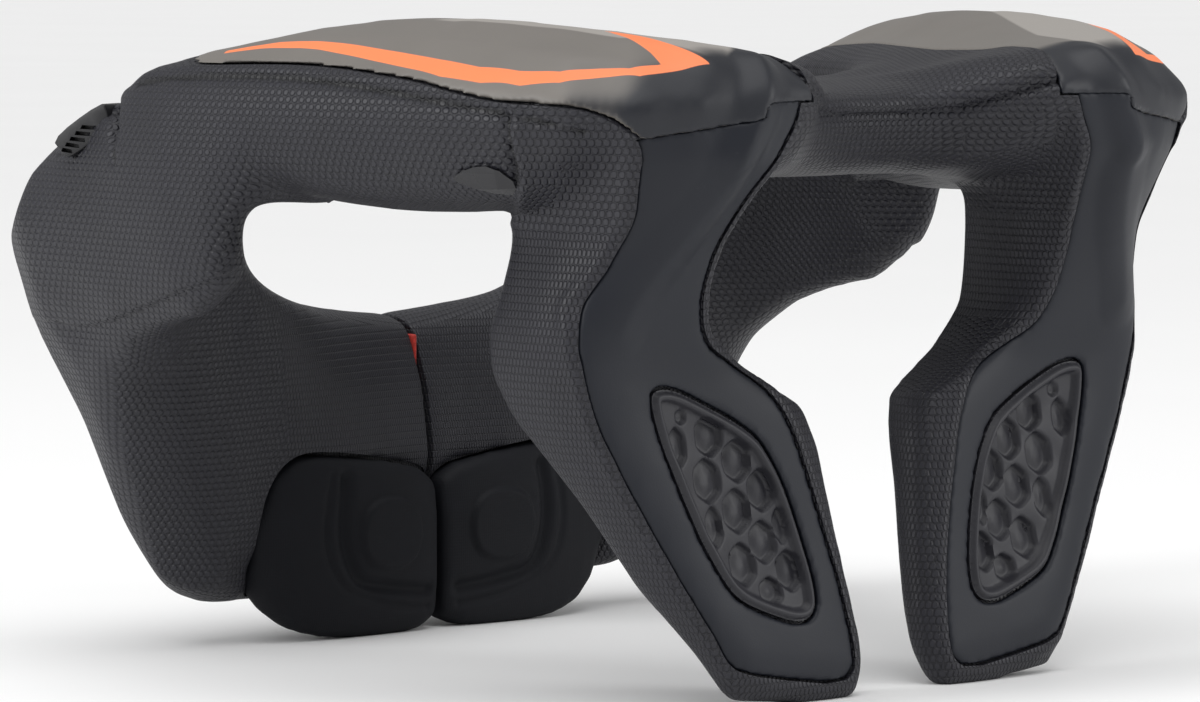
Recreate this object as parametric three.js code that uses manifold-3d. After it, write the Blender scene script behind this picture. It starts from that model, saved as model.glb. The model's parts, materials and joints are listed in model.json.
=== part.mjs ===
import * as THREE from 'three';
import { mergeVertices } from 'three/addons/utils/BufferGeometryUtils.js';
import Module from 'manifold-3d';

const wasm = await Module();
wasm.setup();

// Motocross neck brace, standing on its two back legs and its chest pads.
// +Y is the wearer's back, +X the wearer's left, millimetres.

// Driving sizes
const height = 184;          // floor to the ridge of the wings
const ringReach = 170;       // neck axis to the farthest front corner
const neckAxisY = -5;        // the neck axis, ahead of the legs' own centre
const legSpread = 115;       // middle to the outer tip of a leg plate
const rearInset = 23.5;      // the back of the leg plates lies this far inside the ring's reach
const shellWall = 2.4;       // top panels and leg plates
const insertWall = 4;        // rubber inserts
const insertSink = 0.4;      // how far an insert's face lies below the plate
const cellDepth = 1.8;       // cells in an insert
const slitWidth = 1.4;       // gap between the two halves of the bib
const gap = 0.3;             // clearance between pieces that touch
const padWidth = 68;
const padHeight = 55;
const padDepth = 10;         // chest pad, half of it sunk in the foam
const padSole = 0.8;         // how much is cut flat off the pads' lowest edge
const badgeLength = 17;
const badgeWall = 1.2;
const tabWidth = 12;
const tabWall = 2;
const latchLength = 19;
const latchDepth = 12;
const latchHeight = 13;
const latchRibs = 5;
const ribDepth = 1.4;
const rearReach = ringReach + neckAxisY - rearInset;   // middle to the back of the leg plates

// The ring of foam: sections at a turn from the front round to the back.
// Each corner of a section is [share of ringReach, share of height].
const ringColumns = ['neck', 'dish', 'ridge', 'rim', 'side', 'flank', 'hem', 'sole', 'wall'];
const ringRows = [
  [0, [.465, .475], [.505, .495], [.55, .50], [.62, .47], [.655, .34], [.65, .20], [.60, .08], [.455, .075],
    [.41, .28]],
  [25, [.48, .50], [.525, .525], [.58, .53], [.66, .50], [.70, .35], [.68, .20], [.62, .08], [.47, .075],
    [.425, .29]],
  [35, [.495, .525], [.55, .56], [.62, .58], [.74, .56], [.77, .39], [.735, .21], [.66, .08], [.53, .075],
    [.47, .30]],
  [45, [.515, .555], [.61, .63], [.71, .69], [.85, .67], [.92, .56], [.825, .28], [.72, .085], [.60, .08],
    [.54, .33]],
  [52, [.54, .62], [.64, .71], [.75, .78], [.90, .765], [.985, .665], [.855, .38], [.73, .13], [.63, .12],
    [.575, .41]],
  [57, [.555, .66], [.66, .755], [.76, .815], [.89, .80], [.97, .68], [.86, .44], [.775, .28], [.67, .27],
    [.61, .50]],
  [62, [.545, .71], [.66, .78], [.76, .83], [.87, .82], [.93, .70], [.865, .52], [.80, .42], [.70, .42],
    [.635, .58]],
  [68, [.525, .79], [.65, .825], [.755, .86], [.84, .855], [.885, .74], [.86, .58], [.82, .50], [.73, .50],
    [.655, .66]],
  [76, [.495, .86], [.62, .885], [.74, .915], [.82, .912], [.86, .79], [.84, .62], [.80, .535], [.74, .54],
    [.68, .69]],
  [84, [.47, .885], [.585, .92], [.70, .95], [.81, .92], [.845, .81], [.83, .64], [.79, .555], [.74, .56],
    [.69, .70]],
  [90, [.455, .90], [.565, .935], [.67, .965], [.80, .925], [.83, .83], [.825, .69], [.79, .60], [.73, .62],
    [.665, .72]],
  [94, [.45, .905], [.555, .945], [.66, .975], [.795, .93], [.825, .85], [.805, .775], [.75, .735],
    [.62, .73], [.50, .78]],
  [100, [.44, .91], [.55, .95], [.65, .985], [.795, .925], [.82, .855], [.805, .79], [.75, .745], [.58, .73],
    [.47, .81]],
  [115, [.435, .915], [.55, .955], [.665, 1], [.825, .92], [.85, .85], [.825, .785], [.765, .735], [.58, .72],
    [.46, .815]],
  [130, [.44, .915], [.58, .95], [.74, .995], [.93, .91], [.945, .84], [.90, .78], [.84, .74], [.59, .73],
    [.47, .815]],
  [139, [.44, .91], [.60, .94], [.82, .985], [1.02, .88], [.995, .83], [.94, .79], [.88, .75], [.59, .74],
    [.47, .815]],
  [148, [.44, .905], [.61, .925], [.89, .97], [.985, .885], [.96, .83], [.91, .79], [.85, .76], [.55, .755],
    [.465, .82]],
  [155, [.435, .905], [.60, .915], [.86, .955], [.95, .885], [.93, .84], [.87, .80], [.80, .765], [.52, .765],
    [.455, .825]],
  [162, [.435, .90], [.57, .905], [.77, .935], [.885, .895], [.86, .85], [.80, .80], [.72, .77], [.50, .77],
    [.45, .825]],
  [169, [.435, .90], [.51, .90], [.60, .90], [.74, .875], [.71, .83], [.67, .79], [.62, .77], [.485, .765],
    [.44, .825]],
  [180, [.435, .89], [.49, .90], [.56, .90], [.69, .865], [.655, .82], [.625, .785], [.59, .765], [.48, .765],
    [.435, .825]],
];

// Each back leg: level sections from its top down.
// Heights are shares of height, widths of legSpread and depths of rearReach.
const legColumns = ['zIn', 'zOut', 'xIn', 'plateIn', 'xRidge', 'plateOut', 'rearIn', 'rearRidge', 'rearOut',
  'frontIn', 'frontOut'];
const legRows = [
  [.865, .86, .42, .455, .615, .95, .985, .988, .90, .66, .64],
  [.815, .815, .455, .51, .63, .885, .98, .995, .925, .62, .57],
  [.765, .765, .49, .545, .645, .865, .935, .955, .905, .59, .54],
  [.71, .71, .525, .575, .68, .85, .89, .91, .865, .57, .53],
  [.65, .65, .54, .595, .73, .87, .85, .865, .82, .56, .53],
  [.585, .585, .53, .59, .785, .91, .82, .825, .79, .56, .52],
  [.53, .53, .495, .545, .80, .92, .80, .80, .79, .57, .50],
  [.495, .495, .41, .45, .72, .915, .785, .79, .79, .59, .505],
  [.455, .455, .245, .345, .65, .90, .79, .79, .79, .615, .515],
  [.40, .40, .175, .285, .60, .865, .80, .80, .80, .64, .56],
  [.325, .325, .155, .245, .54, .80, .815, .815, .815, .675, .62],
  [.245, .245, .135, .21, .485, .73, .83, .83, .83, .705, .665],
  [.165, .165, .12, .18, .43, .66, .85, .85, .85, .73, .705],
  [.08, .10, .105, .165, .375, .585, .87, .87, .87, .765, .76],
  [.02, .05, .11, .17, .355, .545, .885, .88, .875, .80, .80],
  [-.012, .012, .14, .19, .345, .51, .885, .88, .87, .82, .82],
];

const mixNumber = (a, b, t) => a + (b - a) * t;

// A value between the rows of a table, on one smooth curve through them
function between(xs, ys, x) {
  let i = xs.findIndex((v, k) => k > 0 && x <= v);
  if (i < 0) i = xs.length - 1;
  const slope = (k) => {
    const a = Math.max(k - 1, 0);
    const b = Math.min(k + 1, xs.length - 1);
    return (ys[b] - ys[a]) / (xs[b] - xs[a]);
  };
  const span = xs[i] - xs[i - 1];
  const t = (x - xs[i - 1]) / span;
  const h = t * t * (3 - 2 * t);
  const pull = t * (1 - t) * (1 - t) * slope(i - 1) * span - t * t * (1 - t) * slope(i) * span;
  return mixNumber(ys[i - 1], ys[i], h) + pull;
}

// A closed body through loops of points, capped at both ends
function loft(loops) {
  const size = loops[0].length;
  const positions = [];
  const index = [];
  loops.forEach((loop) => loop.forEach((p) => positions.push(p.x, p.y, p.z)));
  for (let i = 0; i + 1 < loops.length; i += 1) {
    for (let j = 0; j < size; j += 1) {
      const a = i * size + j;
      const b = i * size + (j + 1) % size;
      index.push(a, b, b + size, a, b + size, a + size);
    }
  }
  [[0, 1], [loops.length - 1, -1]].forEach(([row, way]) => {
    const middle = new THREE.Vector3();
    loops[row].forEach((p) => middle.addScaledVector(p, 1 / size));
    const hub = positions.length / 3;
    positions.push(middle.x, middle.y, middle.z);
    for (let j = 0; j < size; j += 1) {
      const a = row * size + j;
      const b = row * size + (j + 1) % size;
      index.push(hub, ...(way > 0 ? [b, a] : [a, b]));
    }
  });
  const geometry = new THREE.BufferGeometry();
  geometry.setAttribute('position', new THREE.Float32BufferAttribute(positions, 3));
  geometry.setIndex(index);
  return geometry;
}

function signedVolume(vertices, triangles) {
  const corner = (k) => new THREE.Vector3().fromArray(vertices, triangles[k] * 3);
  let total = 0;
  for (let k = 0; k < triangles.length; k += 3) {
    total += corner(k).dot(corner(k + 1).cross(corner(k + 2)));
  }
  return total;
}

function solid(geometry) {
  const plain = geometry.clone();
  plain.deleteAttribute('normal');
  plain.deleteAttribute('uv');
  const merged = mergeVertices(plain, 1e-4);
  const vertProperties = new Float32Array(merged.attributes.position.array);
  const triVerts = new Uint32Array(merged.index.array);
  if (signedVolume(vertProperties, triVerts) < 0) triVerts.reverse();
  return new wasm.Manifold(new wasm.Mesh({ numProp: 3, vertProperties, triVerts }));
}

function geometryOf(body) {
  const mesh = body.getMesh();
  const geometry = new THREE.BufferGeometry();
  geometry.setAttribute('position', new THREE.BufferAttribute(new Float32Array(mesh.vertProperties), 3));
  geometry.setIndex(new THREE.BufferAttribute(new Uint32Array(mesh.triVerts), 1));
  return geometry;
}

function block(low, high) {
  const box = new THREE.BoxGeometry(high[0] - low[0], high[1] - low[1], high[2] - low[2]);
  box.translate((low[0] + high[0]) / 2, (low[1] + high[1]) / 2, (low[2] + high[2]) / 2);
  return solid(box);
}

// An outline pushed through along X, Y or Z. The outline is [y, z], [x, z] or [x, y].
function prism(points, from, to, along = 'z') {
  const shape = new THREE.Shape(points.map(([a, b]) => new THREE.Vector2(a, b)));
  const geometry = new THREE.ExtrudeGeometry(shape, { depth: to - from, bevelEnabled: false });
  if (along === 'x') {
    geometry.rotateZ(Math.PI / 2);
    geometry.rotateY(Math.PI / 2);
    geometry.translate(from, 0, 0);
  } else if (along === 'y') {
    geometry.rotateX(Math.PI / 2);
    geometry.translate(0, to, 0);
  } else {
    geometry.translate(0, 0, from);
  }
  return solid(geometry);
}

// Grows an outline outwards by a distance
function grow(points, by) {
  const turn = Math.sign(THREE.ShapeUtils.area(points.map(([a, b]) => new THREE.Vector2(a, b))));
  return points.map((p, i) => {
    const before = points[(i + points.length - 1) % points.length];
    const after = points[(i + 1) % points.length];
    const edgeIn = new THREE.Vector2(p[0] - before[0], p[1] - before[1]).normalize();
    const edgeOut = new THREE.Vector2(after[0] - p[0], after[1] - p[1]).normalize();
    const normal = new THREE.Vector2(edgeIn.y + edgeOut.y, -edgeIn.x - edgeOut.x).normalize();
    const lift = by * turn / Math.max(0.5, normal.dot(new THREE.Vector2(edgeIn.y, -edgeIn.x)));
    return [p[0] + normal.x * lift, p[1] + normal.y * lift];
  });
}

// The ring, one half, from just past the middle of the bib to just past the middle of the bridge
const ringSteps = 28;
const ringSides = 18;
const halfOverlap = 2;
function ringPoint(turn, radius, z) {
  const angle = THREE.MathUtils.degToRad(turn);
  return new THREE.Vector3(radius * Math.sin(angle), neckAxisY - radius * Math.cos(angle), z);
}
const ringTurns = ringRows.map((row) => row[0]);
function ringValue(name, axis, turn) {
  const column = ringColumns.indexOf(name) + 1;
  const folded = turn > 180 ? 360 - turn : Math.abs(turn);
  return between(ringTurns, ringRows.map((row) => row[column][axis]), folded) * (axis ? height : ringReach);
}
function ringLoop(turn) {
  const corners = ringColumns.map(
    (name) => ringPoint(turn, ringValue(name, 0, turn), ringValue(name, 1, turn)));
  return new THREE.CatmullRomCurve3(corners, true, 'centripetal').getPoints(ringSides).slice(0, ringSides);
}
const ringLoops = [];
for (let i = 0; i <= ringSteps; i += 1) {
  ringLoops.push(ringLoop(mixNumber(-halfOverlap, 180 + halfOverlap, i / ringSteps)));
}
const ringHalf = solid(loft(ringLoops));

// The leg
const legSteps = 14;
const legSides = 16;
const legHeights = legRows.map((row) => -row[0]);
const legUnits = { z: height, x: legSpread, r: rearReach, f: rearReach, p: legSpread };
function legValue(name, level) {
  const column = legColumns.indexOf(name);
  return between(legHeights, legRows.map((row) => row[column]), -level) * legUnits[name[0]];
}
const plateEdge = 2.5;       // foam that shows outside a leg plate
const legCorner = 6;         // rounding of a leg's section
function legLoop(level) {
  const v = Object.fromEntries(legColumns.map((name) => [name, legValue(name, level)]));
  const xOut = v.plateOut + plateEdge;
  const corner = Math.min(legCorner, (v.rearIn - v.frontIn) / 3);
  const spots = [
    [v.xIn + corner * 0.5, v.rearIn - 1], [v.plateIn + corner, v.rearIn], [v.xRidge, v.rearRidge],
    [v.plateOut, v.rearOut], [xOut, v.rearOut - corner], [xOut, v.frontOut + corner],
    [xOut - corner, v.frontOut], [(v.xIn + xOut) / 2, (v.frontIn + v.frontOut) / 2],
    [v.xIn + corner, v.frontIn], [v.xIn, (v.frontIn + v.rearIn) / 2],
  ];
  const corners = spots.map(([x, y]) => new THREE.Vector3(
    x, y, mixNumber(v.zIn, v.zOut, (x - v.xIn) / (xOut - v.xIn))));
  return new THREE.CatmullRomCurve3(corners, true, 'centripetal').getPoints(legSides).slice(0, legSides);
}
const legLoops = [];
for (let i = 0; i <= legSteps; i += 1) {
  legLoops.push(legLoop(mixNumber(legRows[0][0], legRows.at(-1)[0], i / legSteps)));
}
const leg = solid(loft(legLoops));

const far = 1.4 * ringReach;
const ground = block([-far, -far, -far], [far, far, 0]);
const half = ringHalf.add(leg).subtract(ground);
const mirrored = (body) => body.mirror([1, 0, 0]);
const whole = half.add(mirrored(half));

// Outlines of the smooth skins
const seamShares = [[0, .885], [.59, .881], [.61, .862], [.757, .851], [.9, .846], [1.06, .846]];
const seam = seamShares.map(([x, z]) => [x * legSpread, z * height]);
const aboveSeam = (lift) => prism(
  [...seam.map(([x, z]) => [x, z + lift]), [far, seam.at(-1)[1] + lift], [far, far], [0, far]],
  0.5 * rearReach, far, 'y');

// Top panel: its inner border in plan, and its outer border seen from the side
const panelRows = [[74, .70], [75, .64], [78, .58], [84, .53], [100, .51], [115, .51], [124, .52], [131, .54],
  [138, .58], [142, .62], [148, .68], [154, .76], [162.5, .90]];   // [turn, share of ringReach]
const borderShares = [[-.34, .985], [-.22, .955], [-.15, .937], [-.1, .93], [.07, .932], [.17, .932],
  [.275, .928], [.385, .92], [.49, .911], [.595, .897], [.69, .886], [.82, .88], [.87, .872], [.903, .855],
  [.918, .834], [.93, .80]];   // [share of rearReach, share of height]
const borderLine = borderShares.map(([y, z]) => [y * rearReach, z * height]);
const panelTurns = panelRows.map((row) => row[0]);
const panelSteps = 14;
const panelFar = 1.1;
function panelOutline() {
  const inner = [];
  const outer = [];
  for (let i = 0; i <= panelSteps; i += 1) {
    const turn = mixNumber(panelTurns[0], panelTurns.at(-1), i / panelSteps);
    const share = between(panelTurns, panelRows.map((row) => row[1]), turn);
    const near = ringPoint(turn, share * ringReach, 0);
    const away = ringPoint(turn, panelFar * ringReach, 0);
    inner.push([near.x, near.y]);
    outer.push([away.x, away.y]);
  }
  return [...inner, ...outer.reverse()];
}
const skinFloor = 0.8 * height;
const shiftTop = (by) => whole.translate([-0.32 * by, -0.4 * by, -0.86 * by]);
const shiftRear = (by) => whole.translate([0, -by, 0]);
const panelBlock = (by) => prism(grow(panelOutline(), by), skinFloor, 1.2 * height);
const aboveBorder = (lift) => prism(
  [...borderLine.map(([y, z]) => [y, z + lift]), [far, skinFloor + lift], [far, far], [-far, far]],
  0, far, 'x');
const frontZone = block([0, -far, 0], [far, 0.5 * rearReach + 1, far]);
const panelZone = (by) => panelBlock(by).intersect(aboveBorder(-by)).intersect(aboveSeam(-by).add(frontZone));
const topPanel = panelZone(0).intersect(whole).subtract(shiftTop(shellWall));
const panelPocket = panelZone(gap).subtract(shiftTop(shellWall + gap));

// Leg plate: its borders seen from behind
function plateOutline() {
  const levels = legRows.slice(1).map((row) => row[0]);
  const inner = levels.map((level) => [legValue('plateIn', level), legValue('zIn', level)]);
  const outer = levels.map((level) => [legValue('plateOut', level), legValue('zOut', level)]);
  inner.pop();
  outer.pop();
  const lift = 0.022 * height;
  inner[inner.length - 1][1] += lift;
  outer[outer.length - 1][1] += lift;
  const top = [[.44 * legSpread, height], [.96 * legSpread, height], [.93 * legSpread, .845 * height]];
  return [top[0], ...inner, ...outer.reverse(), top[2], top[1]];
}
const plateZone = (by) => prism(grow(plateOutline(), by), 0.66 * rearReach, far, 'y')
  .subtract(aboveSeam(by - gap));

// Window and insert, seen from behind, [share of legSpread, share of height]
const windowShares = [
  [.725, .468], [.655, .473], [.555, .448], [.40, .40], [.35, .36], [.31, .31], [.275, .235], [.25, .165],
  [.26, .125], [.32, .11], [.43, .132], [.515, .155], [.56, .19], [.62, .26], [.675, .34], [.718, .42],
];
const windowOutline = windowShares.map(([x, z]) => [x * legSpread, z * height]);
const windowZone = (by) => prism(grow(windowOutline, by), 0.66 * rearReach, far, 'y');
const legPlate = plateZone(0).intersect(whole).subtract(shiftRear(shellWall)).subtract(windowZone(0));
const insertRows = [
  [.555, .395, 1], [.48, .357, 1], [.578, .332, 1], [.409, .311, 1], [.496, .285, 1],
  [.36, .262, .8], [.423, .239, 1], [.496, .21, 1], [.353, .193, 1], [.417, .172, .8],
  [.647, .382, .8], [.629, .426, .4], [.568, .264, .8],
];
const cellWidth = 0.082 * legSpread;
const cellHeight = 0.06 * height;
const cellPoints = 6;
function cellZone([x, z, scale]) {
  const points = [];
  for (let i = 0; i < cellPoints; i += 1) {
    const angle = 2 * Math.PI * i / cellPoints;
    points.push([x * legSpread + scale * cellWidth / 2 * Math.cos(angle),
      z * height + scale * cellHeight / 2 * Math.sin(angle)]);
  }
  return prism(points, 0.66 * rearReach, far, 'y');
}
const insertSolid = () => {
  const body = windowZone(-2 * gap).intersect(shiftRear(insertSink)).subtract(shiftRear(insertWall));
  const cells = insertRows.map(cellZone).reduce((all, one) => all.add(one));
  return body.subtract(cells.subtract(shiftRear(insertSink + cellDepth)));
};
const legInsert = insertSolid();
const platePocket = plateZone(gap).subtract(shiftRear(shellWall + gap));
const insertPocket = windowZone(0).subtract(shiftRear(insertWall + gap));

// Chest pad: upright sections from the slit outwards, shares of padWidth and padHeight
const padColumns = ['x', 'top', 'bottom', 'face'];
const padRows = [
  [.02, .83, .07, -.515], [.06, .88, .03, -.508], [.3, .94, 0, -.50], [.6, .99, .02, -.498],
  [.8, 1, .08, -.51], [.92, .9, .2, -.525], [1, .7, .36, -.54],
];
const padFaceUnit = rearReach;
function padLoop(x, by, end) {
  const xs = padRows.map((row) => row[0]);
  const at = (name) => between(xs, padRows.map((row) => row[padColumns.indexOf(name)]), x);
  const top = at('top') * padHeight - padSole + by;
  const bottom = at('bottom') * padHeight - padSole - by;
  const face = at('face') * padFaceUnit + by;
  const back = face - padDepth - 2 * by;
  const middle = (top + bottom) / 2;
  const flat = 0.25 * (top - bottom);
  const round = 0.22 * padDepth;
  const spots = [
    [face - round * 2, top], [face - round * 0.6, top - round], [face, middle + flat],
    [face, middle - flat], [face - round * 0.6, bottom + round], [face - round * 2, bottom],
    [back, bottom + round], [back, top - round],
  ];
  return spots.map(([y, z]) => new THREE.Vector3(x * padWidth + end, y, z));
}
const padSteps = 10;
function padSolid(by) {
  const loops = [];
  for (let i = 0; i <= padSteps; i += 1) {
    const end = by * (i === padSteps) - by * (i === 0);
    loops.push(padLoop(mixNumber(padRows[0][0], padRows.at(-1)[0], i / padSteps), by, end));
  }
  return solid(loft(loops));
}
const chestPad = padSolid(0).subtract(ground);

// Foam with its pockets, then cut into the pieces that the real brace is sewn from
const bothSides = (body) => body.add(mirrored(body));
const slit = block([-slitWidth / 2, -far, -1], [slitWidth / 2, neckAxisY, far]);
const tabPlace = { low: .41 * height, face: -.60 * rearReach, back: -.75 * rearReach };
const tabBox = (by) => block(
  [-tabWall / 2 - by, tabPlace.back - by, tabPlace.low - by],
  [tabWall / 2 + by, tabPlace.face + by, tabPlace.low + tabWidth + by]);
const foam = whole
  .subtract(bothSides(panelPocket))
  .subtract(bothSides(platePocket))
  .subtract(bothSides(insertPocket))
  .subtract(bothSides(padSolid(2 * gap)))
  .subtract(slit)
  .subtract(tabBox(gap));

const frontTurn = 66;
const bridgeHalf = .36 * legSpread;
const legTop = .715 * height;
const wedge = (turn, shift) => {
  const box = new THREE.BoxGeometry(2 * far, 2 * far, 2 * far);
  box.translate(0, -far - shift, 0);
  box.rotateZ(THREE.MathUtils.degToRad(turn - 90));
  box.translate(0, neckAxisY, 0);
  return solid(box);
};
const leftSide = block([0, -far, -1], [far, far, far]);
const ahead = (shift) => wedge(frontTurn, shift).intersect(leftSide);
const legBox = (by) => block([-1, .4 * rearReach, -1], [far, far, legTop - by]);
const bridgeBox = (by) => block([-bridgeHalf + by, .2 * rearReach, -1], [bridgeHalf - by, far, far]);
const foamFront = foam.intersect(ahead(gap / 2));
const foamLeg = foam.intersect(leftSide).intersect(legBox(gap / 2));
const foamWing = foam.intersect(leftSide).subtract(ahead(-gap / 2)).subtract(legBox(-gap / 2))
  .subtract(bridgeBox(-gap / 2));
const foamBridge = foam.intersect(bridgeBox(gap / 2)).subtract(bothSides(legBox(-gap / 2)));

// Side badge, a teardrop lying on the wing's side
const badgeOutline = [];
const badgePoints = 12;
for (let i = 0; i < badgePoints; i += 1) {
  const angle = 2 * Math.PI * i / badgePoints;
  const drop = 0.5 * (1 + 0.55 * Math.cos(angle));
  badgeOutline.push([badgeLength / 2 * Math.cos(angle), badgeLength * 0.42 * drop * Math.sin(angle)]);
}
const badgePlace = new THREE.Vector3(.55 * ringReach, .61 * rearReach, .77 * height);
function badgeZone() {
  const shape = new THREE.Shape(badgeOutline.map(([a, b]) => new THREE.Vector2(a, b)));
  const geometry = new THREE.ExtrudeGeometry(shape, { depth: 0.4 * ringReach, bevelEnabled: false });
  geometry.rotateX(Math.PI / 2);
  geometry.rotateZ(Math.PI / 2);
  geometry.translate(badgePlace.x, badgePlace.y, badgePlace.z);
  return solid(geometry);
}
const sideBadge = badgeZone().intersect(whole.translate([badgeWall + gap, 0, 0]))
  .subtract(whole.translate([gap, 0, 0]));

// Front latch: a ribbed block lying on the joint between wing and arm, on the left side only
const latchTurn = 60;
const latchTilt = 33;
const latchRadius = .875 * ringReach;
const latchZ = .835 * height;
function latchSolid() {
  const pitch = latchLength / latchRibs;
  const top = latchHeight / 3;
  const profile = [[-latchLength / 2, top - latchHeight]];
  for (let i = 0; i < latchRibs; i += 1) {
    const at = -latchLength / 2 + i * pitch;
    profile.push([at, top - ribDepth], [at + 0.2 * pitch, top]);
    profile.push([at + 0.7 * pitch, top], [at + 0.8 * pitch, top - ribDepth]);
  }
  profile.push([latchLength / 2, top - ribDepth], [latchLength / 2, top - latchHeight]);
  const shape = new THREE.Shape(profile.map(([a, b]) => new THREE.Vector2(a, b)));
  const geometry = new THREE.ExtrudeGeometry(shape, { depth: latchDepth, bevelEnabled: false });
  geometry.translate(0, 0, -latchDepth / 2);
  geometry.rotateX(Math.PI / 2);
  geometry.rotateY(THREE.MathUtils.degToRad(latchTilt));
  geometry.rotateZ(THREE.MathUtils.degToRad(latchTurn - 90));
  const place = ringPoint(latchTurn, latchRadius, latchZ);
  geometry.translate(place.x, place.y, place.z);
  return solid(geometry);
}
const frontLatch = latchSolid().subtract(whole.translate([0, 0, gap])).subtract(whole.translate([gap, 0, 0]))
  .subtract(whole.translate([0, -gap, 0]));

const brace = new THREE.Group();
function add(name, body, colour, roughness, metalness = 0) {
  const material = new THREE.MeshStandardMaterial({ color: colour, roughness, metalness });
  const mesh = new THREE.Mesh(geometryOf(body), material);
  mesh.name = name;
  brace.add(mesh);
}
const looks = {
  foam: ['#232428', 0.75], panel: ['#4a4744', 0.4], plate: ['#2a2d35', 0.45], rubber: ['#1a1b1e', 0.6],
  pad: ['#141416', 0.95], badge: ['#1c1c20', 0.2], tab: ['#b3261e', 0.7], latch: ['#151517', 0.5],
};
const pairs = {
  foam_front: [foamFront, looks.foam], foam_wing: [foamWing, looks.foam], foam_leg: [foamLeg, looks.foam],
  top_panel: [topPanel, looks.panel], leg_plate: [legPlate, looks.plate],
  leg_insert: [legInsert, looks.rubber],
  chest_pad: [chestPad, looks.pad], side_badge: [sideBadge, looks.badge],
};
Object.entries(pairs).forEach(([name, [body, look]]) => {
  add(`${name}_left`, body, ...look);
  add(`${name}_right`, mirrored(body), ...look);
});
add('foam_bridge', foamBridge, ...looks.foam);
add('closure_tab', tabBox(0), ...looks.tab);
add('front_latch', frontLatch, ...looks.latch);

// Stand the brace on the floor, in the middle of its own box
const box = new THREE.Box3().setFromObject(brace);
brace.position.set(-(box.min.x + box.max.x) / 2, -(box.min.y + box.max.y) / 2, -box.min.z);
brace.updateMatrixWorld(true);

export default brace;
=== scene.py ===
import json
import math

import bpy
import numpy as np
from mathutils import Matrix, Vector
from mathutils.bvhtree import BVHTree

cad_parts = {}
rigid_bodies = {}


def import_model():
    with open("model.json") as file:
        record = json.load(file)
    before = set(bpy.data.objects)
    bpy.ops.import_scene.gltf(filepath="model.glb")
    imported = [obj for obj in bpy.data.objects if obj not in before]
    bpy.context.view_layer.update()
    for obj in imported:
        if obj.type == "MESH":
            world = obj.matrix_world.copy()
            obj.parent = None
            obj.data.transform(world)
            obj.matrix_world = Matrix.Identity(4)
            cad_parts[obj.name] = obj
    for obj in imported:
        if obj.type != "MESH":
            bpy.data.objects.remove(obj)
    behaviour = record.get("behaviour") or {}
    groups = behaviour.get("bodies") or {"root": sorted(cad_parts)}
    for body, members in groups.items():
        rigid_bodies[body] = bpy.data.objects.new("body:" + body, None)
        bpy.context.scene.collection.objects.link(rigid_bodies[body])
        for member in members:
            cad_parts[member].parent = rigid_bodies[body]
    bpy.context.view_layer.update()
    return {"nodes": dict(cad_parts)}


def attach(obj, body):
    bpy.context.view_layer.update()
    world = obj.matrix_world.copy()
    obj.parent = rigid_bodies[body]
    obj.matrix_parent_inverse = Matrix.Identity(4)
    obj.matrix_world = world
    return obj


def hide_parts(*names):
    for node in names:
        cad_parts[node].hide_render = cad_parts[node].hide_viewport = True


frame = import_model()
print("frame loaded:", len(frame["nodes"]), "nodes")

mm = 0.001


# Small helpers

def deselectAll():
    for thing in list(bpy.context.selected_objects):
        thing.select_set(False)


def makeActive(obj):
    deselectAll()
    obj.select_set(True)
    bpy.context.view_layer.objects.active = obj


def inEditMode(obj, work):
    makeActive(obj)
    bpy.ops.object.mode_set(mode="EDIT")
    bpy.ops.mesh.select_all(action="SELECT")
    work()
    bpy.ops.object.mode_set(mode="OBJECT")


def applyModifier(obj, kind, **settings):
    makeActive(obj)
    modifier = obj.modifiers.new(kind.lower(), kind)
    for key, value in settings.items():
        setattr(modifier, key, value)
    bpy.ops.object.modifier_apply(modifier=modifier.name)


def readPoints(obj):
    points = np.zeros(len(obj.data.vertices) * 3)
    obj.data.vertices.foreach_get("co", points)
    return points.reshape(-1, 3)


def readNormals(obj):
    normals = np.zeros(len(obj.data.vertices) * 3)
    obj.data.vertices.foreach_get("normal", normals)
    return normals.reshape(-1, 3)


def writePoints(obj, points):
    obj.data.vertices.foreach_set("co", points.ravel())
    obj.data.update()


def duplicateOf(obj, name):
    twin = obj.copy()
    twin.data = obj.data.copy()
    twin.name = name
    bpy.context.scene.collection.objects.link(twin)
    return twin


def solidFrom(nodes, name):
    # one merged object from copies of CAD nodes
    copies = []
    for node in nodes:
        twin = duplicateOf(frame["nodes"][node], name)
        twin.parent = None
        for key in list(twin.keys()):
            del twin[key]
        inEditMode(twin, lambda: bpy.ops.mesh.remove_doubles(threshold=0.01 * mm))
        copies.append(twin)
    makeActive(copies[0])
    for twin in copies:
        twin.select_set(True)
    bpy.ops.object.join()
    copies[0].name = name
    copies[0].data.materials.clear()
    return copies[0]


def cutWith(obj, cutter, operation):
    applyModifier(obj, "BOOLEAN", operation=operation, object=cutter, solver="MANIFOLD")
    bpy.data.objects.remove(cutter)


def smoothLine(spots, steps):
    # an open Catmull-Rom curve through the spots
    spots = np.array(spots, float)
    last = len(spots) - 1
    line = []
    for i in range(last):
        a, b, c, d = (spots[min(max(i + k, 0), last)] for k in (-1, 0, 1, 2))
        for t in np.linspace(0, 1, steps, endpoint=False):
            line.append(0.5 * (2 * b + (c - a) * t + (2 * a - 5 * b + 4 * c - d) * t * t
                               + (3 * b - a - 3 * c + d) * t ** 3))
    line.append(spots[-1])
    return np.array(line)


def roundedLoop(corners, rounds=3):
    # cuts the corners of a closed outline again and again
    loop = np.array(corners, float)
    for _ in range(rounds):
        after = np.roll(loop, -1, 0)
        loop = np.stack([0.75 * loop + 0.25 * after, 0.25 * loop + 0.75 * after], 1).reshape(-1, 2)
    return loop


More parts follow.
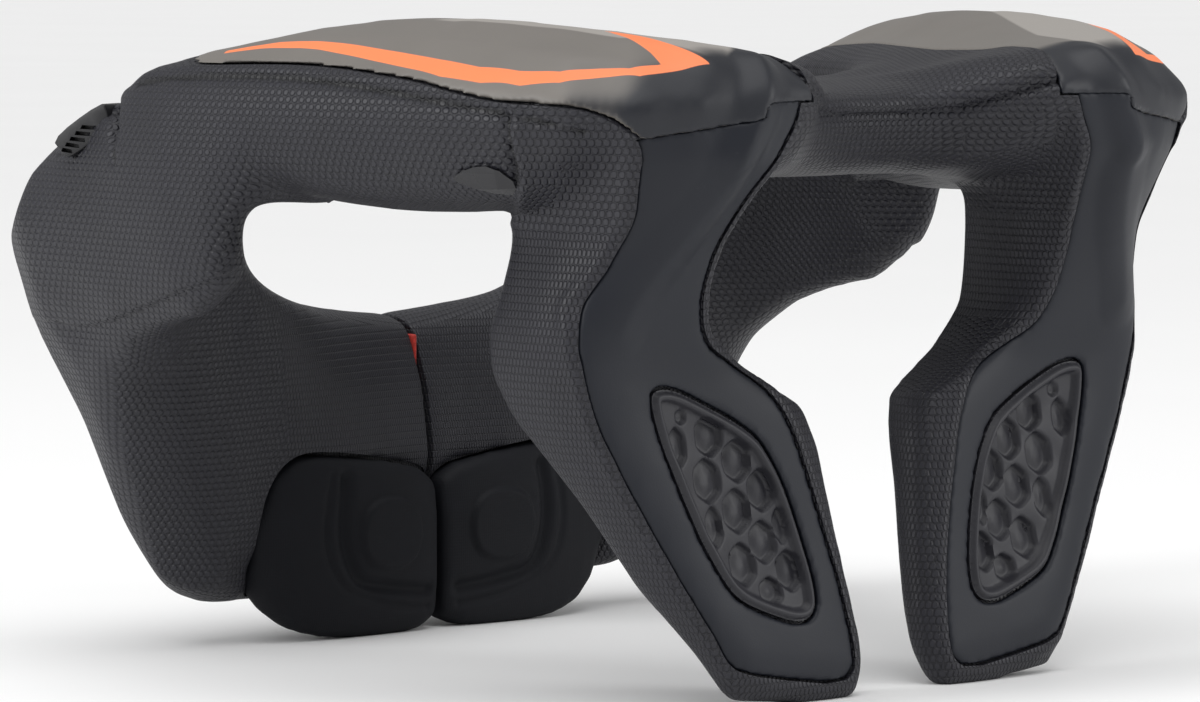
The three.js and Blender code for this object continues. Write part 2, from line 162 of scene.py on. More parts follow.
def growLoop(loop, by):
    # moves a closed outline outwards
    before, after = np.roll(loop, 1, 0), np.roll(loop, -1, 0)
    along = after - before
    along /= np.linalg.norm(along, axis=1)[:, None] + 1e-12
    area = 0.5 * np.sum(loop[:, 0] * after[:, 1] - after[:, 0] * loop[:, 1])
    return loop + np.stack([along[:, 1], -along[:, 0]], 1) * by * np.sign(area)


def prism(name, outline, axis, low, high):
    # an outline in mm pushed through along an axis; the outline is (y, z), (x, z) or (x, y)
    places = {"X": lambda a, b: (low, a, b),
              "Y": lambda a, b: (a, low, b),
              "Z": lambda a, b: (a, b, low)}
    reach = Vector([(high - low) * (axis == letter) for letter in "XYZ"]) * mm
    deselectAll()
    bpy.ops.mesh.primitive_circle_add(vertices=len(outline), radius=1, fill_type="NGON")
    obj = bpy.context.object
    obj.name = name
    for vertex, (a, b) in zip(obj.data.vertices, outline):
        vertex.co = Vector(places[axis](a, b)) * mm

    def push():
        bpy.ops.mesh.extrude_region_move(TRANSFORM_OT_translate={"value": reach})
        bpy.ops.mesh.select_all(action="SELECT")
        bpy.ops.mesh.quads_convert_to_tris()
        bpy.ops.mesh.normals_make_consistent(inside=False)
    inEditMode(obj, push)
    return obj


def mirrorPiece(obj, name):
    twin = duplicateOf(obj, name)
    points = readPoints(twin)
    points[:, 0] *= -1
    writePoints(twin, points)
    inEditMode(twin, lambda: bpy.ops.mesh.flip_normals())
    return twin


def nearLine(points, line):
    # distance from each point to an open line of spots, and the way from the line to the point
    # points farther than the margin, in mm, from the line's box are left at a large distance
    margin = 45
    close = np.all((points > line.min(0) - margin) & (points < line.max(0) + margin), axis=1)
    near = points[close]
    best, way = np.full(len(near), 1e9), np.zeros(near.shape)
    for a, b in zip(line[:-1], line[1:]):
        span = b - a
        t = np.clip(((near - a) @ span) / (span @ span + 1e-12), 0, 1)
        offset = near - a - t[:, None] * span
        length = np.linalg.norm(offset, axis=1)
        nearer = length < best
        best[nearer], way[nearer] = length[nearer], offset[nearer]
    allBest, allWay = np.full(len(points), 1e9), np.zeros(points.shape)
    allBest[close], allWay[close] = best, way
    return allBest, allWay


def distanceToLine(points, line):
    return nearLine(points, line)[0]


def insideLoop(points, loop):
    # even-odd test in the plane
    inside = np.zeros(len(points), bool)
    x, y = points[:, 0], points[:, 1]
    for (ax, ay), (bx, by) in zip(loop, np.roll(loop, -1, 0)):
        crosses = (ay > y) != (by > y)
        at = ax + (y - ay) / (by - ay + 1e-12) * (bx - ax)
        inside ^= crosses & (x < at)
    return inside


def signedDistance(points, loop):
    edge = distanceToLine(points, np.vstack([loop, loop[:1]]))
    return np.where(insideLoop(points, loop), -edge, edge)


def storeValue(obj, name, values):
    layer = obj.data.attributes.new(name, "FLOAT", "POINT")
    layer.data.foreach_set("value", np.asarray(values, np.float32))


def ease(low, high, x):
    t = np.clip((x - low) / (high - low), 0, 1)
    return t * t * (3 - 2 * t)


# Camera, light and floor

view = {"eye": (1.1475, 1.2700, 0.2103), "target": (0.0, -0.0119, 0.0864), "lens": 180, "sensor": 36,
        "nearest": 0.05}
deselectAll()
bpy.ops.object.camera_add(location=view["eye"])
camera = bpy.context.object
camera.rotation_euler = (Vector(view["target"]) - Vector(view["eye"])).to_track_quat("-Z", "Y").to_euler()
camera.data.lens = view["lens"]
camera.data.sensor_width = view["sensor"]
camera.data.clip_start = view["nearest"]
bpy.context.scene.camera = camera

lamps = [
    {"name": "ceiling", "kind": "SUN", "at": (0.3, 0.2, 1.5), "aim": (0, 0, 0.1),
     "size": 1.1, "power": 1.9},
    {"name": "rightSoftbox", "kind": "AREA", "at": (-0.9, 1.2, 0.6), "aim": (0, 0, 0.08),
     "size": 0.7, "power": 7},
    {"name": "leftSoftbox", "kind": "AREA", "at": (1.5, -0.5, 0.7), "aim": (0, 0, 0.08),
     "size": 0.7, "power": 13},
]
for lamp in lamps:
    deselectAll()
    bpy.ops.object.light_add(type=lamp["kind"], location=lamp["at"])
    light = bpy.context.object
    light.name = lamp["name"]
    if lamp["kind"] == "SUN":
        light.data.angle = lamp["size"]
    else:
        light.data.shape = "DISK"
        light.data.size = lamp["size"]
    light.data.energy = lamp["power"]
    light.rotation_euler = (Vector(lamp["aim"]) - Vector(lamp["at"])).to_track_quat("-Z", "Y").to_euler()

surround = {"seen": 1.0, "lighting": 0.42, "floorSize": 40}
world = bpy.data.worlds.new("studio")
world.use_nodes = True
sky = world.node_tree
strength = sky.nodes.new("ShaderNodeMapRange")
strength.inputs["To Min"].default_value = surround["lighting"]
strength.inputs["To Max"].default_value = surround["seen"]
sky.links.new(sky.nodes.new("ShaderNodeLightPath").outputs["Is Camera Ray"], strength.inputs["Value"])
sky.links.new(strength.outputs["Result"], sky.nodes["Background"].inputs["Strength"])
sky.nodes["Background"].inputs["Color"].default_value = (1, 1, 1, 1)
bpy.context.scene.world = world
bpy.context.scene.view_settings.view_transform = "Standard"
deselectAll()
bpy.ops.mesh.primitive_plane_add(size=surround["floorSize"], location=(0, 0, 0))
floor = bpy.context.object
floor.name = "floor"
print("camera and light set")


# Shader building

class Value:
    # a node socket that does arithmetic
    def __init__(self, finish, socket):
        self.finish, self.socket = finish, socket

    def math(self, operation, *others, flip=False):
        terms = [self, *others]
        if flip:
            terms.reverse()
        return self.finish.node("ShaderNodeMath", {"operation": operation}, dict(enumerate(terms)))

    def __add__(self, other):
        return self.math("ADD", other)

    def __radd__(self, other):
        return self.math("ADD", other)

    def __sub__(self, other):
        return self.math("SUBTRACT", other)

    def __rsub__(self, other):
        return self.math("SUBTRACT", other, flip=True)

    def __mul__(self, other):
        return self.math("MULTIPLY", other)

    def __rmul__(self, other):
        return self.math("MULTIPLY", other)

    def __truediv__(self, other):
        return self.math("DIVIDE", other)

    def __rtruediv__(self, other):
        return self.math("DIVIDE", other, flip=True)

    def smallest(self, other):
        return self.math("MINIMUM", other)

    def floor(self):
        return self.math("FLOOR")

    def fraction(self):
        return self.math("FRACT")

    def size(self):
        return self.math("ABSOLUTE")

    def root(self):
        return self.math("SQRT")

    def ramp(self, low, high, fromValue=0.0, toValue=1.0):
        return self.finish.node("ShaderNodeMapRange", {"interpolation_type": "SMOOTHSTEP"},
                                {"Value": self, "From Min": low, "From Max": high,
                                 "To Min": fromValue, "To Max": toValue})


class Finish:
    # a material with one Principled shader
    def __init__(self, name, **constants):
        self.material = bpy.data.materials.new(name)
        self.material.use_nodes = True
        self.nodes = self.material.node_tree.nodes
        self.links = self.material.node_tree.links
        self.shader = self.nodes["Principled BSDF"]
        for socket, value in constants.items():
            self.shader.inputs[socket.replace("_", " ")].default_value = value

    def node(self, kind, settings=None, sockets=None, output=0):
        node = self.nodes.new(kind)
        for key, value in (settings or {}).items():
            setattr(node, key, value)
        for key, value in (sockets or {}).items():
            self.plug(node.inputs[key], value)
        return Value(self, node.outputs[output])

    def plug(self, socket, value):
        if isinstance(value, Value):
            self.links.new(value.socket, socket)
        else:
            socket.default_value = value

    def place(self):
        return self.node("ShaderNodeTexCoord", output="Object")

    def surfacePlace(self):
        return self.node("ShaderNodeUVMap", {"uv_map": "weave"})

    def stored(self, name):
        return self.node("ShaderNodeAttribute", {"attribute_name": name}, output="Fac")

    def noise(self, place, scale, detail=2.0, roughness=0.5):
        return self.node("ShaderNodeTexNoise", None, {"Vector": place, "Scale": scale, "Detail": detail,
                                                      "Roughness": roughness})

    def mixColour(self, factor, first, second):
        # sockets 0, 6, 7 and output 2 are the colour ones
        return self.node("ShaderNodeMix", {"data_type": "RGBA"}, {0: factor, 6: first, 7: second}, output=2)

    def split(self, vector):
        first = self.node("ShaderNodeSeparateXYZ", None, {0: vector})
        return [Value(self, output) for output in first.socket.node.outputs]

    def bump(self, height, strength, distance):
        return self.node("ShaderNodeBump", None,
                         {"Height": height, "Strength": strength, "Distance": distance})

    def use(self, **sockets):
        for name, value in sockets.items():
            self.plug(self.shader.inputs[name.replace("_", " ")], value)
        return self.material


def colour(red, green, blue):
    return (red, green, blue, 1)


def hexDimples(finish, u, v, cell):
    # distance from the middle of the nearest cell of a honeycomb, 0 in the middle and 1 near its edge
    across, up = u / cell, v / cell
    tall = math.sqrt(3)
    firstX = across.fraction() - 0.5
    firstY = ((up / tall).fraction() - 0.5) * tall
    secondX = (across + 0.5).fraction() - 0.5
    secondY = ((up / tall + 0.5).fraction() - 0.5) * tall
    first = (firstX * firstX + firstY * firstY).root()
    second = (secondX * secondX + secondY * secondY).root()
    return first.smallest(second) * 2


def paintFloor():
    finish = Finish("pale floor", Roughness=0.6)
    tone = finish.noise(finish.place(), 3.0)
    pale = finish.mixColour(tone, colour(0.90, 0.90, 0.90), colour(0.93, 0.93, 0.93))
    return finish.use(Base_Color=pale)


floor.data.materials.append(paintFloor())


def ovalBricks(finish, u, v, wide, tall):
    # rows of upright ovals, each row half a step on: 1 in the middle of an oval, 0 between them
    row = v / tall
    across = ((u / wide + (row.floor() / 2).fraction()).fraction() - 0.5) * 2
    up = (row.fraction() - 0.5) * 2
    return (across * across + up * up * up * up).ramp(0.25, 1.0, 1.0, 0.0)


def paintBody():
    # near-black cloth: honeycomb on the wings and arms, upright ovals on the legs, gussets and inner bib
    finish = Finish("embossed cloth", Specular_IOR_Level=0.45)
    u, v, _ = finish.split(finish.surfacePlace())
    u, v = u * 1000, v * 1000
    honeycomb = hexDimples(finish, u, v, 2.15).ramp(0.5, 0.98, 1.0, 0.0)
    ribbed = finish.stored("ribbed")
    relief = honeycomb * (1 - ribbed) + ovalBricks(finish, u, v, 1.5, 2.1) * ribbed
    seam = finish.stored("seam")
    cloud = finish.noise(finish.place(), 60.0, 3.0)
    fine = finish.noise(finish.place(), 2500.0, 2.0)
    # the tone is partly painted shade, darker colour on the low edges of the cells and between the ovals, and
    # partly a random cloud
    tone = relief * 0.3 + cloud * 0.5
    base = finish.mixColour(tone, colour(0.0060, 0.0060, 0.0092), colour(0.0185, 0.0185, 0.027))
    # painted shade: along the seam grooves the cloth is mixed towards black
    base = finish.mixColour(seam, base, colour(0.0012, 0.0012, 0.0015))
    rough = 0.54 + cloud * 0.1 - relief * 0.1
    normal = finish.bump(relief + fine * 0.08 - seam * 0.8, 1.0, 0.00045)
    return finish.use(Base_Color=base, Roughness=rough, Normal=normal)


def paintPanel():
    # warm grey satin with a painted orange stripe
    finish = Finish("satin panel", Specular_IOR_Level=0.45)
    place = finish.place()
    grain = finish.noise(place, 1800.0, 2.0)
    cloud = finish.noise(place, 40.0, 2.0)
    stripe = finish.stored("stripe").ramp(-0.12, 0.12, 1.0, 0.0)
    pale = finish.stored("pale").ramp(-0.5, 0.5, 1.0, 0.0)
    dark = finish.stored("dark")
    ground = finish.mixColour(cloud, colour(0.140, 0.129, 0.117), colour(0.165, 0.152, 0.138))
    ground = finish.mixColour(pale, ground, colour(0.30, 0.28, 0.258))
    ground = finish.mixColour(dark, ground, colour(0.0080, 0.0094, 0.0145))
    base = finish.mixColour(stripe, ground, colour(0.88, 0.22, 0.08))
    rough = 0.44 + cloud * 0.06 + grain * 0.04
    normal = finish.bump(grain, 0.25, 0.00008)
    return finish.use(Base_Color=base, Roughness=rough, Normal=normal)


def paintPlate():
    finish = Finish("satin plate", Specular_IOR_Level=0.32)
    place = finish.place()
    grain = finish.noise(place, 2200.0, 2.0)
    cloud = finish.noise(place, 35.0, 3.0)
    scuff = finish.noise(place, 260.0, 4.0, 0.7).ramp(0.66, 0.74)
    base = finish.mixColour(cloud, colour(0.0065, 0.0080, 0.0130), colour(0.0090, 0.0108, 0.0170))
    base = finish.mixColour(scuff * 0.25, base, colour(0.03, 0.032, 0.038))
    rough = 0.46 + cloud * 0.07 + scuff * 0.08
    normal = finish.bump(grain, 0.3, 0.00008)
    return finish.use(Base_Color=base, Roughness=rough, Normal=normal)


def paintInsert():
    finish = Finish("moulded rubber", Specular_IOR_Level=0.4)
    place = finish.place()
    grain = finish.noise(place, 1600.0, 3.0, 0.6)
    cloud = finish.noise(place, 90.0, 2.0)
    base = finish.mixColour(cloud, colour(0.013, 0.013, 0.017), colour(0.020, 0.020, 0.026))
    normal = finish.bump(grain, 0.35, 0.0001)
    return finish.use(Base_Color=base, Roughness=0.42 + cloud * 0.12, Normal=normal)


def paintPad():
    finish = Finish("velvety pad cloth", Specular_IOR_Level=0.24)
    place = finish.place()
    x, _, z = finish.split(place)
    knit = ((x * 1400).fraction() - 0.5).size() + ((z * 1100).fraction() - 0.5).size()
    cloud = finish.noise(place, 70.0, 3.0)
    base = finish.mixColour(cloud, colour(0.0025, 0.003, 0.005), colour(0.005, 0.0056, 0.0085))
    normal = finish.bump(knit + finish.noise(place, 3000.0), 0.4, 0.0001)
    return finish.use(Base_Color=base, Roughness=0.66 + cloud * 0.1, Normal=normal)


def paintLatch():
    finish = Finish("ribbed latch plastic", Specular_IOR_Level=0.4)
    grain = finish.noise(finish.place(), 1500.0, 3.0)
    cloud = finish.noise(finish.place(), 150.0, 2.0)
    base = finish.mixColour(cloud, colour(0.006, 0.006, 0.0075), colour(0.011, 0.011, 0.013))
    return finish.use(Base_Color=base, Roughness=0.38 + grain * 0.15, Normal=finish.bump(grain, 0.3, 0.0001))


def paintBadge():
    finish = Finish("glossy badge", Specular_IOR_Level=0.4)
    cloud = finish.noise(finish.place(), 120.0, 2.0)
    base = finish.mixColour(cloud, colour(0.010, 0.010, 0.012), colour(0.015, 0.015, 0.018))
    return finish.use(Base_Color=base, Roughness=0.22 + cloud * 0.08)


def paintTab():
    finish = Finish("red webbing", Sheen_Weight=0.1)
    _, y, z = finish.split(finish.place())
    weave = ((y * 900 + (z * 900).floor() * 0.5).fraction() - 0.5).size() * 2
    base = finish.mixColour(weave, colour(0.30, 0.010, 0.004), colour(0.45, 0.02, 0.008))
    return finish.use(Base_Color=base, Roughness=0.7, Normal=finish.bump(weave, 0.5, 0.0002))


looks = {"body": paintBody(), "panel": paintPanel(), "plate": paintPlate(), "insert": paintInsert(),
         "pad": paintPad(), "latch": paintLatch(), "badge": paintBadge(), "tab": paintTab()}
print("materials made")


def finishPiece(obj, look, slotName, *nodes, angle=None):
    makeActive(obj)
    if angle is None:
        bpy.ops.object.shade_smooth()
    else:
        bpy.ops.object.shade_smooth_by_angle(angle=math.radians(angle))
    obj.data.materials.clear()
    obj.data.materials.append(looks[look])
    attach(obj, "root")
    if nodes:
        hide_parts(*nodes)


# The smooth skin that everything is cut from

skinSettings = {"voxel": 2.2, "closeGaps": 0.25, "smoothRounds": 9, "swell": 0.2}
sides = ("left", "right")
foamNodes = [f"foam_{part}_{side}" for part in ("front", "wing", "leg") for side in sides] + ["foam_bridge"]
coverNodes = [f"{part}_{side}" for part in ("top_panel", "leg_plate") for side in sides]
insertNodes = [f"leg_insert_{side}" for side in sides]

# points read off the photo are in mm in a frame of its own, with y ahead of the part's frame
shiftY = -11.94      # what takes its y to the part's y
neckAxisY = -5       # the neck's axis in it
plateFold = [(64.7, 133.7, 171.8), (66.3, 138.5, 166.9), (68.7, 140.7, 161.2), (70.1, 139.8, 157.8),
             (75.4, 139, 147.5), (77, 133.9, 139.5), (84, 125.2, 126.3), (91.6, 118, 113.2),
             (95.5, 114.5, 102.7)]
creases = [
    # the fold that runs down each leg plate, raised again over its top part
    {"line": plateFold, "rise": 1.7, "reach": 9},
    {"line": plateFold[:5], "rise": 1.4, "reach": 7},
    # the low fold along the inner edge of the painted field
    {"line": [(103.9, 65.6, 181.8), (100.9, 80.9, 180.9), (97.1, 97, 179.8), (92.8, 111.5, 177.8),
              (84.3, 123.6, 175.6), (79.2, 132.7, 172.2)], "rise": 0.8, "reach": 8},
]


def layLine(spots, steps=4):
    return smoothLine([(x, y + shiftY, z) for x, y, z in spots], steps)


def foldOver(spots):
    return np.column_stack([np.abs(spots[:, 0]), spots[:, 1:]])


def raiseCreases(obj):
    spots, normals = readPoints(obj) / mm, readNormals(obj)
    lift = np.zeros(len(spots))
    for crease in creases:
        away = distanceToLine(foldOver(spots), layLine(crease["line"]))
        lift += crease["rise"] * np.clip(1 - away / crease["reach"], 0, 1)
    writePoints(obj, (spots + normals * lift[:, None]) * mm)


armHole = {
    "middle": (111.8, -17.1, 119.4), "towards": (0.626, 0.7779, 0.055), "along": (-0.7791, 0.6269, 0),
    "up": (-0.0345, -0.0428, 0.9985), "from": -115, "to": 50,
    "outline": [(29, 10.2), (17.9, 11.8), (4.2, 13.4), (-5.3, 13.6), (-9.4, 12.4), (-11.8, 9),
                (-12.6, 3.2), (-11.9, -3), (-9.3, -8), (-4.7, -11.9), (1.3, -15.1), (9.6, -17.7),
                (18.4, -19.2), (27, -19.6)],
}


def placeLocal(obj, middle, towards, along, up):
    local = readPoints(obj) / mm
    frameRows = np.array([towards, along, up], float)
    writePoints(obj, (np.array(middle) + local @ frameRows) * mm)
    inEditMode(obj, lambda: bpy.ops.mesh.normals_make_consistent(inside=False))


def carveArmHole(obj):
    cutter = prism("armHole", armHole["outline"], "X", armHole["from"], armHole["to"])
    placeLocal(cutter, armHole["middle"], armHole["towards"], armHole["along"], armHole["up"])
    cutWith(obj, mirrorPiece(cutter, "armHoleRight"), "DIFFERENCE")
    cutWith(obj, cutter, "DIFFERENCE")


def smoothSkin(nodes, name):
    solid = solidFrom(nodes, name)
    applyModifier(solid, "DISPLACE", strength=skinSettings["closeGaps"] * mm, mid_level=0)
    applyModifier(solid, "REMESH", mode="VOXEL", voxel_size=skinSettings["voxel"] * mm)
    carveArmHole(solid)
    applyModifier(solid, "REMESH", mode="VOXEL", voxel_size=skinSettings["voxel"] * mm)
    applyModifier(solid, "SMOOTH", factor=0.5, iterations=skinSettings["smoothRounds"])
    applyModifier(solid, "DISPLACE", strength=skinSettings["swell"] * mm, mid_level=0)
    applyModifier(solid, "SUBSURF", levels=1, render_levels=1)
    raiseCreases(solid)
    return solid


skin = smoothSkin(foamNodes + coverNodes + insertNodes, "skin")
print("skin:", len(skin.data.polygons), "faces")
skinTree = BVHTree.FromPolygons([v.co.copy() for v in skin.data.vertices],
                                [tuple(p.vertices) for p in skin.data.polygons])


def offsetSkin(by, name):
    layer = duplicateOf(skin, name)
    applyModifier(layer, "DISPLACE", strength=by * mm, mid_level=0)
    return layer


def planLine(rows):
    # (turn in degrees, radius in mm) to plan spots
    axisY = neckAxisY + shiftY
    return [(r * math.sin(math.radians(t)), axisY - r * math.cos(math.radians(t))) for t, r in rows]


beyond, farBeyond = 250, 260      # mm, past every side of the brace
panel = {
    "inner": [(74, 119), (75, 109), (78, 98.6), (84, 90), (92, 87.5), (100, 86.7), (115, 86.7), (124, 88.4),
              (131, 91.8), (138, 98.6), (142, 105.4), (148, 115.6), (154, 129.2), (162.5, 153)],
    "farRadius": 190, "farTurns": (166, 140, 120, 95, 70),
    "border": [(-48, 181), (-31, 175.7), (-21, 172.4), (-14, 171.1), (10, 171.5), (24, 171.5), (39, 170.8),
               (54.5, 169.3), (69.5, 167.6), (84, 165), (97.8, 163), (116, 162), (123, 160.4), (127.8, 157.3),
               (129.9, 153.4), (131.5, 146)],
    "seam": [(0, 162.8), (67.9, 162.1), (68.9, 161), (69.6, 159.3), (70.4, 157.9), (78, 156.6), (87, 155.3),
             (95, 154.3), (103, 153.2), (125, 153)],
    "over": 0.15, "under": -1.9, "voxel": 0.8, "pocketGap": 0.45, "pocketDepth": -2.3,
}


def aboveSeam(lift):
    # what lies above the seam between the panel and the leg plate, seen from behind
    seam = smoothLine([(x, z + lift) for x, z in panel["seam"]], 4)
    return np.vstack([seam, [(200, 153), (200, farBeyond), (0, farBeyond)]])


def panelZone(grow):
    # where the left panel is: inside its plan, above its outer border and above its rear seam
    inner = smoothLine(planLine(panel["inner"]), 8)
    outer = np.array(planLine([(t, panel["farRadius"]) for t in panel["farTurns"]]))
    border = smoothLine([(y + shiftY, z - grow) for y, z in panel["border"]], 6)
    endY, endZ = border[-1]
    sideLoop = np.vstack([border, [(endY + 80, endZ), (farBeyond, farBeyond), (-farBeyond, farBeyond)]])
    square = [(0, 0), (beyond, 0), (beyond, beyond), (0, beyond)]
    plan = prism("panelPlan", growLoop(np.vstack([inner, outer]), grow), "Z", 120, 220)
    side = prism("panelSide", sideLoop, "X", 0, beyond)
    rear = prism("panelRear", aboveSeam(-grow), "Y", 50, beyond)
    ahead = prism("panelAhead", square, "Y", -beyond, 51)
    cutWith(rear, ahead, "UNION")
    cutWith(plan, side, "INTERSECT")
    cutWith(plan, rear, "INTERSECT")
    return plan


def coverFrom(zone, over, under, name):
    # what lies in the zone between two layers of the skin
    cover = offsetSkin(over, name)
    cutWith(cover, zone, "INTERSECT")
    inner = offsetSkin(under, "inner")
    cutWith(cover, inner, "DIFFERENCE")
    return cover


def roundEdges(obj, voxel, rounds):
    applyModifier(obj, "REMESH", mode="VOXEL", voxel_size=voxel * mm)
    applyModifier(obj, "SMOOTH", factor=0.5, iterations=rounds)


topPanel = coverFrom(panelZone(0), panel["over"], panel["under"], "panelLeft")
roundEdges(topPanel, panel["voxel"], 5)
print("panel:", len(topPanel.data.polygons), "faces")

plate = {
    "inner": [(50, 190), (51, 172), (54.5, 158), (58.7, 150), (62.7, 140.8), (66.1, 130.6),
              (68.4, 119.6), (67.9, 107.6), (62.7, 97.5), (51.8, 91.1), (39.7, 83.7), (32.8, 73.6),
              (28.2, 59.8), (24.2, 45.1), (20.7, 30.4), (18.8, 16), (19.2, 8.5), (22.4, 5.4)],
    "outer": [(30, 5), (46, 7.4), (58, 9.8), (63.5, 12.8), (68.5, 21), (75.9, 33), (84, 47),
              (92, 61), (99.5, 75.6), (103.5, 86.7), (105.2, 94), (105.8, 99.5), (104.7, 108.6),
              (100.1, 119.6), (97.8, 130.6), (99.5, 140.8), (101.8, 150), (104, 158), (106, 190)],
    "window": [(83.4, 86.1), (75.3, 87), (63.8, 82.4), (46, 73.6), (40.3, 66.2), (35.7, 57), (31.6, 43.2),
               (28.8, 30.4), (29.9, 23), (36.8, 20.2), (49.5, 24.3), (59.2, 28.5), (64.4, 35), (71.3, 47.8),
               (77.6, 62.6), (82.6, 77.3)],
    "over": -0.15, "under": -2.2, "voxel": 0.8, "pocketGap": 0.45, "pocketDepth": -2.5,
    "seamLift": 0.3, "pocketSeamLift": -0.1,
}
windowLoop = roundedLoop(plate["window"], 2)
plateOutline = np.vstack([smoothLine(plate["inner"], 5), smoothLine(plate["outer"], 5)])


def plateZone(grow, seamLift):
    # where the left leg plate is, seen from behind and below the panel's seam
    zone = prism("plateZone", growLoop(plateOutline, grow), "Y", 80, beyond)
    above = prism("aboveSeam", aboveSeam(seamLift), "Y", 50, farBeyond)
    cutWith(zone, above, "DIFFERENCE")
    return zone


legPlate = coverFrom(plateZone(0, plate["seamLift"]), plate["over"], plate["under"], "plateLeft")
cutWith(legPlate, prism("window", windowLoop, "Y", 60, beyond), "DIFFERENCE")
roundEdges(legPlate, plate["voxel"], 4)
print("plate:", len(legPlate.data.polygons), "faces")


# Chest pads

pad = {
    "outline": [(1.4, 3.8), (1.4, 45.6), (4, 48.4), (20.4, 51.7), (40.8, 54.5), (54.4, 55), (62.6, 49.5),
                (68, 38.5), (68, 19.8), (62.6, 11), (54.4, 4.4), (40.8, 1.1), (20.4, 0), (4, 1.6)],
    "voxel": 1.3, "smoothRounds": 8, "swell": 0.5, "proud": 2.6, "proudBetween": (-92, -86), "gap": 0.6,
    # the raised square in the middle, the wide channel round it and the thin line outside that
    "square": [(10, 19.6), (33.5, 19.6), (33.5, 40.5), (10, 40.5)], "squareRise": 1.6,
    "channel": [(38, 47), (39, 30), (34, 17.5), (22, 14.2), (6, 12)], "channelDepth": 2.3, "channelHalf": 2.2,
    "outer": [(43, 48), (46, 30), (40, 16), (24, 9.5), (6, 7)], "outerDepth": 0.9, "outerHalf": 1.2,
}


def dent(flat, route, depth, half):
    # a soft-sided groove along a route
    return depth * np.exp(-(distanceToLine(flat, smoothLine(route, 6)) / half) ** 2)


def buildPad():
    obj = solidFrom(["chest_pad_left"], "padLeft")
    applyModifier(obj, "REMESH", mode="VOXEL", voxel_size=pad["voxel"] * mm)
    applyModifier(obj, "SMOOTH", factor=0.5, iterations=pad["smoothRounds"])
    applyModifier(obj, "DISPLACE", strength=pad["swell"] * mm, mid_level=0)
    applyModifier(obj, "SUBSURF", levels=1, render_levels=1)
    spots = readPoints(obj) / mm
    normals = readNormals(obj)
    flat = spots[:, [0, 2]]
    inner = ease(0.3, 0.8, normals[:, 1])
    rise = pad["squareRise"] * ease(0.8, -1.0, signedDistance(flat, roundedLoop(pad["square"], 3)))
    rise -= dent(flat, pad["channel"], pad["channelDepth"], pad["channelHalf"])
    rise -= dent(flat, pad["outer"], pad["outerDepth"], pad["outerHalf"])
    spots += normals * (rise * inner)[:, None]
    spots[:, 1] += pad["proud"] * ease(*pad["proudBetween"], spots[:, 1])
    writePoints(obj, spots * mm)
    return obj


chestPad = buildPad()
chestPadRight = mirrorPiece(chestPad, "padRight")
for piece, node in ((chestPad, "chest_pad_left"), (chestPadRight, "chest_pad_right")):
    finishPiece(piece, "pad", "pad_fabric", node)
print("pads:", len(chestPad.data.polygons), "faces each")


# Foam body

def plateRim(out):
    # the line on the skin that runs round a leg plate, a little outside it
    line = []
    for x, z in growLoop(plateOutline, out)[::2]:
        hit, _, _, _ = skinTree.ray_cast(Vector((x * mm, 0.3, z * mm)), Vector((0, -1, 0)))
        if hit is not None and hit.y > 0.07 and z < 158:
            line.append((x, hit.y / mm - shiftY, z))
    return line


body = {"slitHalf": 1.15, "lipDepth": 1.1, "lipReach": 2.2, "lipHalf": 15, "bibFrom": -35, "padGap": 0.5,
        "padHoleBetween": (-89, -55)}
latchNotch = [(133.7, -54.5, 158.6), (137.2, -48, 156.9), (139.8, -45.2, 151.5), (140.4, -44.8, 147.9),
              (141.4, -43.6, 143.8)]
# a groove's "seam" is how strongly a painted shade line darkens the cloth along it
grooves = [
    # seam under the textured band along the wing's outer edge
    {"line": [(137.2, -37.1, 164.9), (137.6, -27.5, 166.2), (137.5, -9.9, 167.3), (135.3, 13.5, 167.8),
              (133.2, 28, 167.5), (130.9, 42.2, 166.4), (129, 56.6, 165), (127.8, 71.6, 163.2),
              (125.9, 85.6, 161.4), (123, 98.3, 159.8), (119, 112, 157.8), (113, 120, 155.6)],
     "depth": 0.9, "width": 1.2, "lap": 0.7, "toward": (0, 0, 1), "fall": 5, "seam": 0.8},
    # piping round the top panel's outer border
    {"line": [(134.3, -14, 170.8), (134.1, -5.3, 171.2), (132.8, 10.4, 171.6), (130.2, 24.4, 171.5),
              (128.2, 38.9, 170.8), (127.2, 54.5, 169.2), (126, 69.5, 167.6), (124.6, 84.1, 165),
              (122.6, 97.8, 162.9), (118, 116.3, 162), (112, 123.1, 160.4), (107.5, 127.8, 157.3),
              (102.3, 129.8, 153.4), (101.3, 129.8, 147.9)], "depth": -0.6, "width": 2.2},
    # seam where the gusset meets the wing's side
    {"line": [(121.9, 101.3, 158.6), (119.8, 100.1, 150.1), (114.2, 95.3, 142),
              (100.9, 80.4, 134.5), (97, 75, 130)], "depth": 1.6, "width": 1.3, "lap": 2.4,
     "toward": (0, 1, 0), "fall": 10, "seam": 1.0},
    # notch and pucker behind the latch, where the wing's end stands proud of the arm
    {"line": latchNotch[:3], "depth": 3.2, "width": 3.0, "lap": 1.2, "toward": (0, 1, 0), "fall": 8},
    {"line": latchNotch, "depth": 1.3, "width": 1.6, "seam": 0.8},
    {"line": [(134.4, -77.8, 143.7), (137.7, -61.8, 147.4)], "depth": 0.6, "width": 0.9, "seam": 0.6},
    # the rolled top edge of the bridge
    {"line": [(0, 112.7, 157.2), (11, 113.5, 157.6), (25.8, 119.4, 159.3), (33.8, 126.9, 162.1),
              (42.7, 133.5, 165.6), (52, 136, 167.4)], "depth": 2.0, "width": 2.6, "lap": 2.6,
     "toward": (0, -0.6, 0.8), "fall": 8},
    # the soft valley below the bulge of the arm
    {"line": [(129.7, -84.7, 96.3), (129.7, -75.3, 95.4), (133.1, -56.8, 98.4), (135.2, -35.7, 103.7),
              (136.3, -11.8, 110.4), (129.5, -2.9, 114.7)], "depth": 1.4, "width": 6, "lap": 1.6,
     "toward": (0, 0, 1), "fall": 12},
    {"line": plateRim(2.0), "depth": -0.7, "width": 2.0},
]
